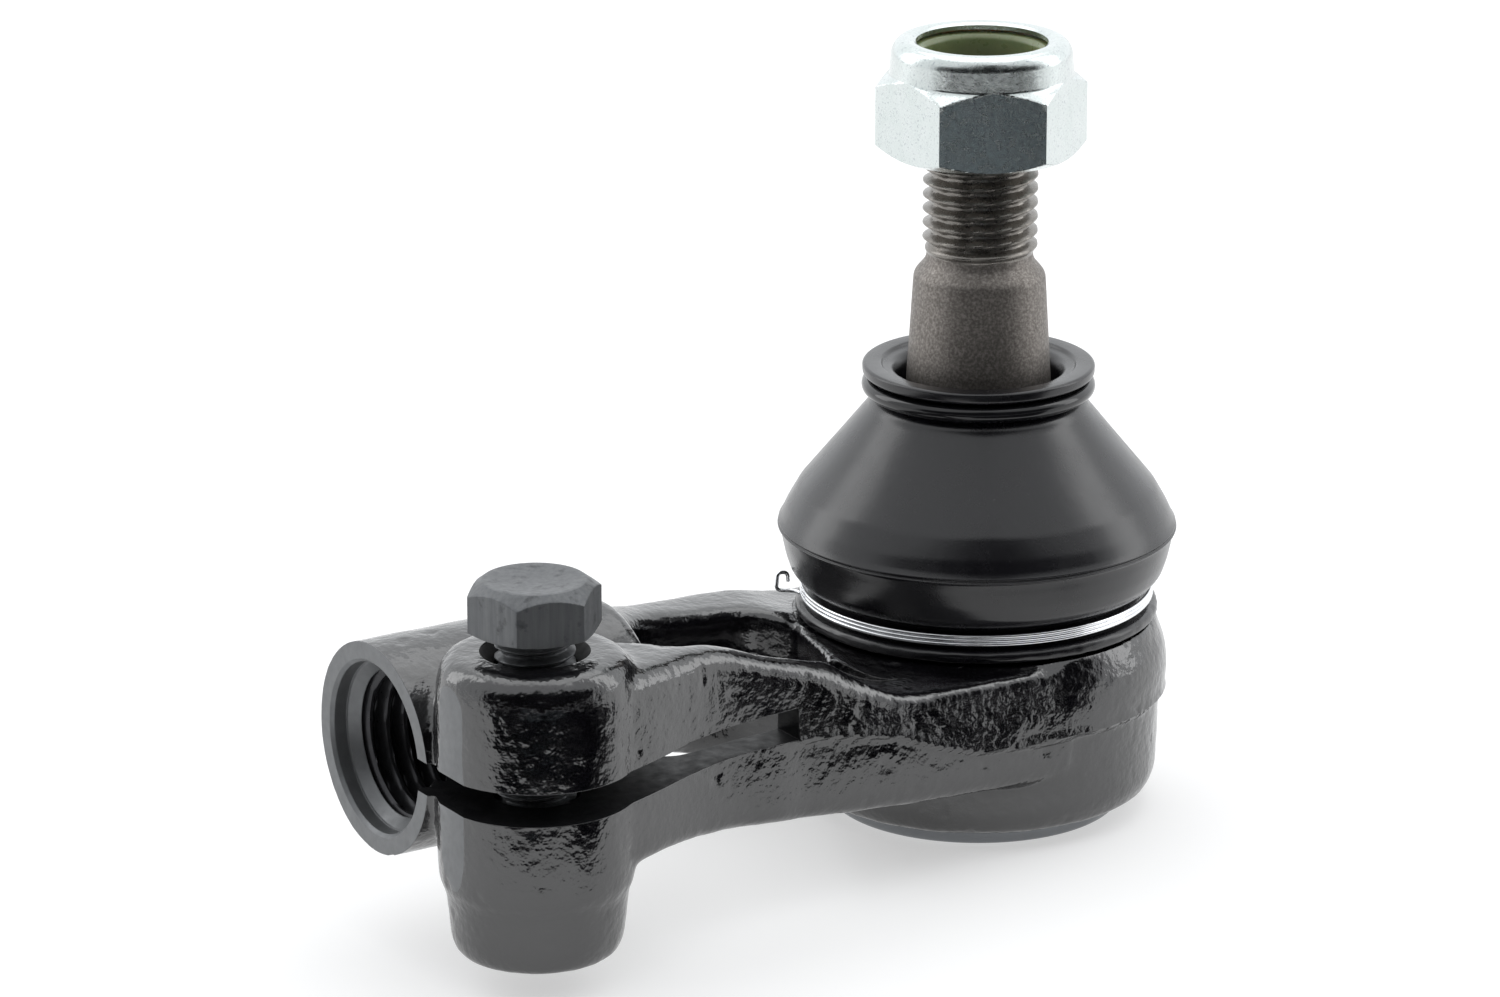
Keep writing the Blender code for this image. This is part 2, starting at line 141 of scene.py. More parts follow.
def make_camera():
    camera = bpy.data.cameras.new("camera")
    camera.lens = 156
    camera.sensor_width = 36
    camera.clip_end = 10
    obj = bpy.data.objects.new("camera", camera)
    across = -CAMERA_DISTANCE * math.sin(CAMERA_AZIMUTH)
    back = -CAMERA_DISTANCE * math.cos(CAMERA_AZIMUTH)
    obj.location = (across, back, CAMERA_HEIGHT)
    obj.rotation_euler = (CAMERA_PITCH, 0, CAMERA_TURN)
    bpy.context.scene.collection.objects.link(obj)
    bpy.context.scene.camera = obj


make_camera()


# ---------------------------------------------------------------- materials


class Surface:
    """A Principled material whose nodes are added step by step, on the object's own coordinates."""

    def __init__(self, name, metallic=0.0, ior=1.5, **constants):
        self.material = bpy.data.materials.new(name)
        self.material.use_nodes = True
        self.tree = self.material.node_tree
        self.shader = self.tree.nodes["Principled BSDF"]
        self.shader.inputs["Metallic"].default_value = metallic
        self.shader.inputs["IOR"].default_value = ior
        for socket, value in constants.items():
            self.shader.inputs[socket.replace("_", " ").title()].default_value = value
        self.coordinates = self.node("ShaderNodeTexCoord").outputs["Object"]
        self.normal = None

    def node(self, kind, **values):
        made = self.tree.nodes.new(kind)
        for key, value in values.items():
            setattr(made, key, value)
        return made

    def link(self, output, socket):
        self.tree.links.new(output, socket)

    def stretched(self, scale):
        mapping = self.node("ShaderNodeMapping")
        mapping.inputs["Scale"].default_value = scale
        self.link(self.coordinates, mapping.inputs["Vector"])
        return mapping.outputs["Vector"]

    def grain(self, size, detail=4.0, stretch=(1, 1, 1), roughness=0.55):
        """Noise whose lumps are about size millimetres across."""
        made = self.node("ShaderNodeTexNoise")
        made.inputs["Scale"].default_value = 1 / (size * MM)
        made.inputs["Detail"].default_value = detail
        made.inputs["Roughness"].default_value = roughness
        self.link(self.stretched(stretch), made.inputs["Vector"])
        return made.outputs["Fac"]

    def spread(self, value, start, end, first, last):
        made = self.node("ShaderNodeMapRange")
        made.inputs["From Min"].default_value = start
        made.inputs["From Max"].default_value = end
        made.inputs["To Min"].default_value = first
        made.inputs["To Max"].default_value = last
        self.link(value, made.inputs["Value"])
        return made.outputs["Result"]

    def between(self, factor, first, second):
        """Colour mix. Either colour may be a tuple or another node's output."""
        made = self.node("ShaderNodeMix", data_type="RGBA")
        self.link(factor, made.inputs["Factor"])
        for socket, colour in ((made.inputs[6], first), (made.inputs[7], second)):
            if isinstance(colour, tuple):
                socket.default_value = (*colour, 1)
            else:
                self.link(colour, socket)
        return made.outputs[2]

    def colour(self, output):
        self.link(output, self.shader.inputs["Base Color"])
        return self

    def roughness(self, output):
        self.link(output, self.shader.inputs["Roughness"])
        return self

    def soft_edges(self, radius):
        made = self.node("ShaderNodeBevel", samples=4)
        made.inputs["Radius"].default_value = radius * MM
        self.normal = made.outputs["Normal"]
        return self

    def bump(self, height, depth, strength=1.0):
        """Relief of depth millimetres."""
        made = self.node("ShaderNodeBump")
        made.inputs["Distance"].default_value = depth * MM
        made.inputs["Strength"].default_value = strength
        self.link(height, made.inputs["Height"])
        if self.normal is not None:
            self.link(self.normal, made.inputs["Normal"])
        self.normal = made.outputs["Normal"]
        return self

    def finish(self):
        if self.normal is not None:
            self.link(self.normal, self.shader.inputs["Normal"])
        return self.material


def forged_paint():
    """Semi-gloss black paint over the forging's rough skin."""
    look = Surface("forged_paint", ior=1.9)
    patches = look.grain(6, 3)
    worn = look.spread(patches, 0.35, 0.65, 0, 1)
    look.colour(look.between(worn, (0.0016, 0.0015, 0.002), (0.004, 0.0037, 0.005)))
    look.roughness(look.spread(look.grain(2.5, 5), 0.3, 0.7, 0.10, 0.20))
    look.soft_edges(0.12)
    look.bump(look.grain(2.2, 2), 0.03)
    look.bump(look.grain(1.1, 2), 0.095)
    look.bump(look.grain(0.5, 2), 0.026)
    return look.finish()


def machined_face():
    """Turned mouth of the bore: dark satin steel under a thin coat."""
    look = Surface("machined_face", metallic=0.55, ior=1.5)
    look.colour(look.between(look.grain(1.5, 4), (0.12, 0.124, 0.128), (0.17, 0.175, 0.18)))
    look.roughness(look.spread(look.grain(0.8, 4), 0.3, 0.7, 0.34, 0.5))
    look.soft_edges(0.15)
    look.bump(look.grain(0.25, 2), 0.008)
    return look.finish()


def sawn_face():
    """Slit and other cut faces, painted over."""
    look = Surface("sawn_face", ior=1.35)
    look.colour(look.between(look.grain(2, 4), (0.0015, 0.0015, 0.002), (0.004, 0.004, 0.005)))
    look.roughness(look.spread(look.grain(1.2, 4), 0.3, 0.7, 0.42, 0.6))
    look.soft_edges(0.12)
    look.bump(look.grain(0.5, 3, (0.25, 1, 1)), 0.012)
    return look.finish()


def bored_thread():
    look = Surface("bored_thread", metallic=0.6, ior=1.5)
    look.colour(look.between(look.grain(1.5, 4), (0.02, 0.02, 0.022), (0.045, 0.045, 0.05)))
    look.roughness(look.spread(look.grain(0.8, 4), 0.3, 0.7, 0.26, 0.4))
    look.bump(look.grain(0.4, 2), 0.006)
    return look.finish()


def boot_rubber():
    look = Surface("boot_rubber", ior=1.6)
    dust = look.spread(look.grain(0.35, 2), 0.70, 0.78, 0, 0.5)
    base = look.between(look.grain(7, 3), (0.0028, 0.0026, 0.0040), (0.0050, 0.0046, 0.0068))
    look.colour(look.between(dust, base, (0.05, 0.05, 0.052)))
    look.roughness(look.spread(look.grain(4, 5), 0.3, 0.7, 0.22, 0.30))
    look.bump(look.grain(3.5, 2, (1, 1, 0.4)), 0.03)
    look.bump(look.grain(0.22, 2), 0.006)
    return look.finish()


def ring_rubber():
    look = Surface("ring_rubber", ior=1.52)
    look.colour(look.between(look.grain(3, 3), (0.004, 0.004, 0.005), (0.009, 0.009, 0.010)))
    look.roughness(look.spread(look.grain(1.5, 3), 0.3, 0.7, 0.09, 0.16))
    look.bump(look.grain(1.0, 2), 0.006)
    return look.finish()


def stud_steel():
    """Phosphated steel: brown-grey, speckled, with brighter rubbed spots."""
    look = Surface("stud_steel", metallic=0.82, ior=1.5)
    speckle = look.spread(look.grain(0.28, 3, roughness=0.7), 0.42, 0.68, 0, 1)
    base = look.between(look.grain(2.5, 4), (0.125, 0.112, 0.101), (0.19, 0.173, 0.158))
    look.colour(look.between(speckle, base, (0.33, 0.305, 0.283)))
    look.roughness(look.spread(look.grain(0.6, 4), 0.3, 0.7, 0.44, 0.58))
    look.bump(look.grain(0.3, 3), 0.012)
    return look.finish()


def thread_steel():
    look = Surface("thread_steel", metallic=0.9, ior=1.5)
    look.colour(look.between(look.grain(1.2, 4, (1, 1, 4)), (0.13, 0.118, 0.105), (0.30, 0.285, 0.265)))
    look.roughness(look.spread(look.grain(0.5, 4), 0.3, 0.7, 0.22, 0.36))
    look.bump(look.grain(0.3, 2), 0.006)
    return look.finish()


def zinc_plate():
    look = Surface("zinc_plate", metallic=1.0, ior=1.5)
    cloud = look.between(look.grain(3.0, 4), (0.58, 0.64, 0.62), (0.70, 0.73, 0.73))
    pits = look.spread(look.grain(0.22, 3), 0.30, 0.42, 0.75, 0)
    look.colour(look.between(pits, cloud, (0.34, 0.37, 0.40)))
    look.roughness(look.spread(look.grain(0.9, 4), 0.3, 0.7, 0.16, 0.30))
    look.bump(look.grain(0.5, 3), 0.016)
    look.bump(look.grain(3.0, 2), 0.02)
    return look.finish()


def bolt_phosphate():
    """Matt black phosphate, rubbed up and down on the flats."""
    look = Surface("bolt_phosphate", metallic=0.55, ior=1.5)
    streaks = look.grain(0.5, 3, (1, 1, 0.06))
    rubbed = look.spread(streaks, 0.35, 0.65, 0, 1)
    base = look.between(rubbed, (0.105, 0.109, 0.115), (0.135, 0.14, 0.144))
    blots = look.spread(look.grain(1.6, 4), 0.58, 0.70, 0, 0.6)
    look.colour(look.between(blots, base, (0.03, 0.03, 0.033)))
    look.roughness(look.spread(look.grain(0.8, 4), 0.3, 0.7, 0.38, 0.52))
    look.soft_edges(0.12)
    look.bump(streaks, 0.004)
    look.bump(look.grain(0.5, 3), 0.014)
    return look.finish()


def cap_coat():
    look = Surface("cap_coat", metallic=0.6, ior=1.5)
    look.colour(look.between(look.grain(5, 3), (0.19, 0.20, 0.212), (0.235, 0.245, 0.257)))
    look.roughness(look.spread(look.grain(1.5, 4), 0.3, 0.7, 0.28, 0.40))
    look.bump(look.grain(0.4, 3), 0.006)
    return look.finish()


def bright_wire():
    look = Surface("bright_wire", metallic=1.0, ior=1.5)
    look.colour(look.between(look.grain(1.2, 3), (0.78, 0.79, 0.81), (0.90, 0.91, 0.93)))
    look.roughness(look.spread(look.grain(0.4, 3), 0.3, 0.7, 0.10, 0.2))
    look.bump(look.grain(0.3, 2), 0.003)
    return look.finish()


def olive_nylon():
    look = Surface("olive_nylon", ior=1.53, subsurface_weight=0.25)
    look.colour(look.between(look.grain(1.5, 3), (0.17, 0.18, 0.075), (0.27, 0.28, 0.14)))
    look.roughness(look.spread(look.grain(0.6, 3), 0.3, 0.7, 0.24, 0.4))
    look.bump(look.grain(0.5, 3), 0.01)
    return look.finish()


def cream_acetal():
    look = Surface("cream_acetal", ior=1.48)
    look.colour(look.between(look.grain(3, 3), (0.74, 0.71, 0.62), (0.82, 0.80, 0.72)))
    look.roughness(look.spread(look.grain(0.8, 3), 0.3, 0.7, 0.36, 0.5))
    look.bump(look.grain(0.6, 3), 0.008)
    return look.finish()


# ---------------------------------------------------------------- mesh tools


def mesh_object(name, points, faces, *materials):
    """An object at the world's origin, its points given in millimetres."""
    mesh = bpy.data.meshes.new(name)
    mesh.from_pydata([tuple(float(v) * MM for v in point) for point in points], [], faces)
    cleaner = bmesh.new()
    cleaner.from_mesh(mesh)
    bmesh.ops.recalc_face_normals(cleaner, faces=cleaner.faces)
    cleaner.to_mesh(mesh)
    cleaner.free()
    mesh.shade_smooth()
    for material in materials:
        mesh.materials.append(material)
    obj = bpy.data.objects.new(name, mesh)
    bpy.context.scene.collection.objects.link(obj)
    return obj


def sharpen(obj, degrees):
    obj.data.set_sharp_from_angle(angle=math.radians(degrees))
    return obj


def skin(rings, closed):
    """Faces between rings of points. A ring of one point closes an end, and closed joins last to first."""
    points = []
    starts = []
    for ring in rings:
        starts.append(len(points))
        points += ring
    faces = []
    pairs = list(zip(range(len(rings)), range(1, len(rings))))
    if closed:
        pairs.append((len(rings) - 1, 0))
    for first, second in pairs:
        count = max(len(rings[first]), len(rings[second]))
        for step in range(count):
            after = (step + 1) % count
            corners = [
                starts[first] + step % len(rings[first]),
                starts[first] + after % len(rings[first]),
                starts[second] + after % len(rings[second]),
                starts[second] + step % len(rings[second]),
            ]
            faces.append(tuple(dict.fromkeys(corners)))
    return points, faces


def circle(radius, height, steps, centre=(0, 0), turn=0.0):
    if radius == 0:
        return [(*centre, height)]
    angles = [math.tau * (step + turn) / steps for step in range(steps)]
    return [
        (centre[0] + radius * math.cos(a), centre[1] + radius * math.sin(a), height) for a in angles
    ]


def lathe(name, profile, *materials, steps=None, centre=(0, 0), turn=0.0):
    """Turned piece from (radius, height) points: solid if it starts and ends on the axis, else a ring."""
    steps = steps or FINE
    rings = [circle(radius, height, steps, centre, turn) for radius, height in profile]
    return mesh_object(name, *skin(rings, profile[0][0] > 0), *materials)


def rounded(profile, radius, steps=4, closed=False):
    """Round each inner corner of a line of points by radius, or by what the corner's sides allow.

    The radius is one number, or a list with one for each point.
    """
    count = len(profile)
    radii = radius if isinstance(radius, list) else [radius] * count
    line = []
    for index, point in enumerate(profile):
        if not closed and index in (0, count - 1):
            line.append(tuple(point))
            continue
        here = Vector(point)
        before = Vector(profile[index - 1]) - here
        after = Vector(profile[(index + 1) % count]) - here
        cut = min(radii[index], before.length * 0.45, after.length * 0.45)
        start = here + before.normalized() * cut
        end = here + after.normalized() * cut
        for step in range(steps + 1):
            t = step / steps
            line.append(tuple(start * (1 - t) ** 2 + here * (2 * t * (1 - t)) + end * t * t))
    return line


def between(table, x):
    """Value at x on the smooth line through (x, value) points."""
    xs = [point[0] for point in table]
    ys = [point[1] for point in table]
    x = min(max(x, xs[0]), xs[-1])
    index = min(max(sum(1 for value in xs if value <= x) - 1, 0), len(xs) - 2)
    slopes = [(ys[i + 1] - ys[i]) / (xs[i + 1] - xs[i]) for i in range(len(xs) - 1)]
    middle = [(a + b) / 2 if a * b > 0 else 0.0 for a, b in zip(slopes, slopes[1:])]
    turns = [slopes[0], *middle, slopes[-1]]
    width = xs[index + 1] - xs[index]
    t = (x - xs[index]) / width
    start = ys[index] * (1 + 2 * t) * (1 - t) ** 2 + turns[index] * width * t * (1 - t) ** 2
    end = ys[index + 1] * t * t * (3 - 2 * t) - turns[index + 1] * width * t * t * (1 - t)
    return start + end


def smoothstep(value, start, end):
    t = min(max((value - start) / (end - start), 0.0), 1.0)
    return t * t * (3 - 2 * t)


def thread_depth(phase, crest=0.14, root=0.78):
    """Depth below the crest, from 0 to 1, of a 60 degree thread at a phase of its turn."""
    away = abs(2 * (phase % 1.0) - 1)
    return min(max((away - crest) / (root - crest), 0.0), 1.0)


def threaded_rings(radius_at, depth, pitch, start, end, fade_low, fade_high, centre, steps):
    """Rings of a helical thread about a vertical axis, fading out at its ends."""
    rows = max(int((end - start) / pitch * 12), 2)
    rings = []
    for row in range(rows + 1):
        height = start + (end - start) * row / rows
        fade = smoothstep(height, start, start + fade_low) * (1 - smoothstep(height, end - fade_high, end))
        ring = []
        for step in range(steps):
            angle = math.tau * step / steps
            cut = depth * fade * thread_depth(height / pitch - step / steps)
            radius = radius_at(height) - cut
            ring.append((centre[0] + radius * math.cos(angle), centre[1] + radius * math.sin(angle), height))
        rings.append(ring)
    return rings


def baked(obj):
    """Apply an object's modifiers."""
    graph = bpy.context.evaluated_depsgraph_get()
    mesh = bpy.data.meshes.new_from_object(obj.evaluated_get(graph))
    old = obj.data
    obj.modifiers.clear()
    obj.data = mesh
    bpy.data.meshes.remove(old)
    return obj


def joined(name, objects):
    """One object holding the meshes of several, which are removed."""
    whole = bmesh.new()
    for obj in objects:
        whole.from_mesh(obj.data)
        bpy.data.objects.remove(obj, do_unlink=True)
    mesh = bpy.data.meshes.new(name)
    whole.to_mesh(mesh)
    whole.free()
    obj = bpy.data.objects.new(name, mesh)
    bpy.context.scene.collection.objects.link(obj)
    return obj


def cut(obj, *tools, operation="DIFFERENCE"):
    for tool in tools:
        modifier = obj.modifiers.new(tool.name, "BOOLEAN")
        modifier.operation = operation
        modifier.object = tool
        modifier.solver = "EXACT"
        modifier.material_mode = "TRANSFER"
    baked(obj)
    for tool in tools:
        bpy.data.objects.remove(tool, do_unlink=True)
    return obj


# ---------------------------------------------------------------- forging

# Front rail, as (x, value) lines: outer and inner side, crest, inner rim and underside.
# The lean is how far the crest stands inside the outer side's foot.
FRONT_OUTER = [
    (-62, -29.0), (-56, -26.8), (-50, -24.2), (-44, -22.3), (-37, -21.6), (-20, -20.8), (0, -20.0),
]
FRONT_INNER = [
    (-62, -12.0), (-53, -16.0), (-48, -18.9), (-42, -18.1), (-36, -17.5), (-31, -16.1), (-28, -14.0),
    (-25.3, -9.3), (-23.4, -4.5), (-20.6, 2.2), (-18.5, 6.0), (0, 8.0),
]
FRONT_TOP = [
    (-64, 32.4), (-52, 31.9), (-45.5, 31.0), (-39, 28.5), (-33, 26.6), (-29.5, 25.2), (-26, 23.0),
    (-22, 21.2), (-15, 20.6), (0, 20.3),
]
FRONT_RIM = [
    (-64, 32.4), (-52, 31.9), (-45.5, 31.0), (-39, 28.5), (-33, 26.6), (-28, 25.0), (-24, 23.4),
    (-20, 21.4), (-15, 20.6), (0, 20.3),
]
FRONT_LEAN = [(-42, 0.0), (-36, 0.3), (-30, 0.7), (-24, 0.9), (0, 1.0)]
FRONT_CREST = [(-50, 2.6), (-36, 3.3), (-29, 2.6), (-24, 1.2), (0, 1.0)]
FRONT_LOW = [(-64, 12.6), (-53, 12.5), (-45, 11.6), (-36, 10.6), (-28, 9.6), (0, 7.6)]

# Back rail, in the same way
BACK_OUTER = [
    (-57, 4.5), (-50, 6.0), (-44, 9.5), (-38, 13.4), (-32, 16.0), (-26, 17.6), (-18, 18.6), (-6, 19.2),
]
BACK_INNER = [
    (-57, -10.0), (-50, -11.5), (-46.5, -4.0), (-41, 4.0), (-35, 8.6), (-28, 9.6), (-22, 9.0),
    (-19, 6.0), (-6, 6.0),
]
BACK_TOP = [
    (-60, 30.6), (-52, 30.6), (-47, 29.0), (-42, 26.3), (-36, 24.0), (-30, 22.8), (-19, 21.6),
    (-14, 20.5), (-2, 20.0),
]
BACK_LOW = [
    (-60, 11.5), (-48, 11.5), (-42, 11.0), (-38, 10.0), (-34, 8.2), (-29, 6.6), (-22, 5.4), (-2, 5.0),
]
BACK_LEAN = [(-60, 0.0), (-2, 0.0)]
BACK_CREST = [(-60, 2.4), (-2, 2.4)]

# Height of the line where the two dies met
PARTING = [(-40, 19.6), (-36, 19.3), (-24, 17.2), (-14, 13.6), (-4, 12.7), (25, 12.7)]


def rail(name, start, end, outer, inner, top, rim, under, lean, crest, corner):
    """One rail: rounded sections between its lines, in slices along X.

    Its outer side leans in above KINK_Z.
    """
    slices = int((end - start) / 0.7)
    rings = []
    for index in range(slices + 1):
        x = start + (end - start) * index / slices
        foot = between(outer, x)
        inside = between(inner, x)
        shoulder = foot + math.copysign(between(lean, x), inside - foot)
        section = [
            (foot, between(under, x)), (inside, between(under, x)), (inside, between(rim, x)),
            (shoulder, between(top, x)), (foot, KINK_Z),
        ]
        radii = [corner, corner, min(corner, between(crest, x)), between(crest, x), 1.5]
        rings.append([(x, y, z) for y, z in rounded(section, radii, 5, closed=True)])
    ends = [[tuple(np.mean(ring, axis=0))] for ring in (rings[0], rings[-1])]
    return mesh_object(name, *skin([ends[0], *rings, ends[1]], False))


def housing_blank():
    corner = [(17.4, 2.0), (18.9, 2.7), (19.6, 4.2)]
    profile = [(0, 2.0), *corner, (19.85, 12.4), (19.95, 13.2), (20.1, 15.6), (19.9, 17.6), (18.9, 20.4)]
    profile += [(18.7, HOUSING_TOP + 0.4), (15.6, HOUSING_TOP + 0.4), (15.6, 24.6), (0, 24.6)]
    return lathe("housing_blank", profile)


def ears_blank():
    profile = [
        (0, EAR_BOTTOM), (6.6, EAR_BOTTOM), (8.0, EAR_BOTTOM + 0.5), (8.5, EAR_BOTTOM + 2.0), (8.9, 9.2),
        (9.1, 10.2), (9.55, 11.0), (9.75, 14.0), (9.8, 22.0), (9.75, 31.0), (9.4, 32.7),
        (8.6, 33.8), (7.4, EAR_TOP), (0, EAR_TOP),
    ]
    return lathe("ears_blank", profile, centre=(BOLT_X, BOLT_Y))


def along_bore(obj):
    """Lay a piece turned about Z along the bore's axis, its bottom towards the mouth."""
    to_bore = Matrix.Translation((0, BORE_Y * MM, BORE_Z * MM)) @ Matrix.Rotation(math.pi / 2, 4, "Y")
    obj.data.transform(to_bore)
    return obj


def tube_blank():
    profile = [(0, MOUTH_X - 1.5), (10.75, MOUTH_X - 1.5), (10.75, -48.6), (9.6, -47.6), (0, -47.6)]
    return along_bore(lathe("tube_blank", profile))


def forged_skin(obj):
    """Step at the parting line, and the lumps and scale pits of a forging."""
    mesh = obj.data
    normals = [vertex.normal.copy() for vertex in mesh.vertices]
    for vertex, normal in zip(mesh.vertices, normals):
        point = vertex.co / MM
        parting = between(PARTING, point.x) + 0.25 * noise.noise(point * 0.35)
        below = 1 - smoothstep(point.z, parting - 0.35, parting + 0.15)
        lip = math.exp(-((point.z - parting - 0.2) / 0.5) ** 2)
        past_slit = smoothstep(point.x, -38.5, -34)
        flat = Vector((normal.x, normal.y, 0))
        step = flat * ((0.15 * lip - 0.5 * below) * past_slit)
        swell = 0.06 * noise.noise(point * 0.28)
        lumps = 0.022 * noise.noise(point * 0.75) + 0.02 * noise.noise(point * 1.5)
        pit = -0.14 * smoothstep(noise.noise(point * 0.55 + Vector((40, 7, 3))), 0.48, 0.72)
        vertex.co += (step + normal * (swell + lumps + pit)) * MM
    return obj


def slab(name, low_corner, high_corner, material):
    corners = [
        (x, y, z)
        for x in (low_corner[0], high_corner[0])
        for y in (low_corner[1], high_corner[1])
        for z in (low_corner[2], high_corner[2])
    ]
    faces = [(0, 1, 3, 2), (4, 6, 7, 5), (0, 4, 5, 1), (2, 3, 7, 6), (0, 2, 6, 4), (1, 5, 7, 3)]
    return mesh_object(name, corners, faces, material)


def crest_tool(material):
    """Trims the front rail's crest to a crisp edge where it runs along the housing."""
    line = [(-31.5, 26.6), (-29.5, 25.1), (-26, 22.7), (-22, 21.0), (-15, HOUSING_TOP), (8, HOUSING_TOP)]
    outline = rounded(line, 2.0, 4) + [(8, 40.0), (-31.5, 40.0)]
    rings = [[(x, y, z) for x, z in outline] for y in (-30.0, -14.6)]
    count = len(outline)
    faces = [(i, (i + 1) % count, count + (i + 1) % count, count + i) for i in range(count)]
    faces += [tuple(range(count)), tuple(range(2 * count - 1, count - 1, -1))]
    return mesh_object("crest_tool", rings[0] + rings[1], faces, material)


def bore_tool(face, thread):
    """Counterbore, lead-in cone and threaded hole, as one cutter along the bore's axis."""
    steps = 96
    step_x = MOUTH_X + 1.7
    deep = -45.0
    sections = [(0, MOUTH_X - 4), (9.0, MOUTH_X - 4), (9.0, MOUTH_X), (8.65, MOUTH_X + 0.35), (8.65, step_x)]
    cone_end = step_x + 1.1
    sections += [(8.4, step_x + 0.06), (7.45, cone_end)]
    rings = [circle(radius, x, steps) for radius, x in sections]
    rings += threaded_rings(
        lambda x: 8.05, 1.15, BORE_PITCH, cone_end + 0.1, deep, 0.5, 0.1, (0, 0), steps
    )
    rings.append(circle(0, deep, steps))
    tool = mesh_object("bore_tool", *skin(rings, False), face, thread)
    for polygon in tool.data.polygons:
        polygon.material_index = int(polygon.center.z > cone_end * MM)
    return along_bore(tool)


def slit_tool(material):
    return slab(
        "slit_tool",
        (MOUTH_X - 5, -36, BORE_Z - SLIT_HALF),
        (SLIT_END_X, BORE_Y, BORE_Z + SLIT_HALF),
        material,
    )


def bolt_hole_tool(material):
    profile = [(0, -2), (4.3, -2), (4.3, EAR_TOP - 1.6), (5.5, EAR_TOP + 0.1), (5.5, 44), (0, 44)]
    return lathe("bolt_hole_tool", profile, material, centre=(BOLT_X, BOLT_Y), turn=0.37)


def boot_seat_tool(material):
    level = HOUSING_TOP + 0.05
    profile = [(15.7, level), (19.3, level), (19.3, 45.0), (15.7, 45.0)]
    return lathe("boot_seat_tool", profile, material, turn=0.43)


def cavity_tool(material):
    pocket = CAP_RADIUS + 0.15
    profile = [
        (0, 1), (pocket, 1), (pocket, 3.3), (16.6, 3.3), (16.6, 5.4), (14.5, 5.4), (14.5, 19.2),
        (10.0, 19.2), (9.6, HOUSING_TOP), (13.2, 25.6), (0, 25.6),
    ]
    return lathe("cavity_tool", profile, material, turn=0.31)


def make_forging():
    paint = forged_paint()
    face = machined_face()
    sawn = sawn_face()
    blank = joined(
        "forging",
        [
            housing_blank(),
            ears_blank(),
            tube_blank(),
            rail(
                "front_blank", -61, -1, FRONT_OUTER, FRONT_INNER, FRONT_TOP, FRONT_RIM, FRONT_LOW,
                FRONT_LEAN, FRONT_CREST, 2.4,
            ),
            rail(
                "back_blank", -56, -7, BACK_OUTER, BACK_INNER, BACK_TOP, BACK_TOP, BACK_LOW,
                BACK_LEAN, BACK_CREST, 2.2,
            ),
        ],
    )
    remesh = blank.modifiers.new("voxels", "REMESH")
    remesh.mode = "VOXEL"
    remesh.voxel_size = VOXEL * MM
    smooth = blank.modifiers.new("fillets", "SMOOTH")
    smooth.factor = 0.5
    smooth.iterations = 14
    baked(blank)
    forged_skin(blank)
    blank.data.materials.clear()
    blank.data.materials.append(paint)
    mouth = slab("mouth_tool", (MOUTH_X - 6, -30, 0), (MOUTH_X, 20, 40), face)
    cut(blank, crest_tool(paint))
    cut(blank, boot_seat_tool(paint))
    cut(blank, cavity_tool(sawn))
    cut(blank, mouth, bore_tool(face, bored_thread()))
    cut(blank, slit_tool(sawn), bolt_hole_tool(sawn))
    blank.data.shade_smooth()
    sharpen(blank, 34)
    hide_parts("forged_body")
    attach(blank, "housing")
    return blank


# ---------------------------------------------------------------- ball joint and boot


def make_stud():
    """Ball stud: centre drilling, rolled thread, neck, taper and ball."""
    steps = FINE
    neck_angle = math.acos(NECK_RADIUS / BALL_RADIUS)
    ball = [
        (BALL_RADIUS * math.cos(a), BALL_Z + BALL_RADIUS * math.sin(a))
        for a in np.linspace(-math.pi / 2, neck_angle, 40)
    ]
    ball[0] = (0, BALL_Z - BALL_RADIUS)
    shank = [(NECK_RADIUS, 30.0), (7.2, 40.0), (7.52, 45.9), (6.88, 56.6), (6.82, 57.3)]
    shank += [(6.62, 57.75), (5.75, 58.75), (5.52, 59.3), (5.52, 59.7)]
    low_rings = [circle(r, z, steps) for r, z in ball + rounded(shank, 0.35, 3)]
    thread_end = STUD_TOP - 0.9
    thread = threaded_rings(
        lambda z: 5.95 - 0.43 * (1 - smoothstep(z, 59.7, 60.6)),
        0.86, STUD_PITCH, THREAD_START_Z, thread_end, 1.6, 0.2, (0, 0), steps,
    )
    end = [(5.1, STUD_TOP - 0.1), (4.95, STUD_TOP), (1.8, STUD_TOP)]
    end += [(1.5, STUD_TOP - 0.3), (0, STUD_TOP - 1.5)]
    rings = low_rings + thread + [circle(r, z, steps) for r, z in end]
    stud = mesh_object("stud", *skin(rings, False), stud_steel(), thread_steel())
    for face in stud.data.polygons:
        if face.center.z > THREAD_START_Z * MM:
            face.material_index = 1
    sharpen(stud, 40)
    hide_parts("ball_stud")
    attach(stud, "stud")


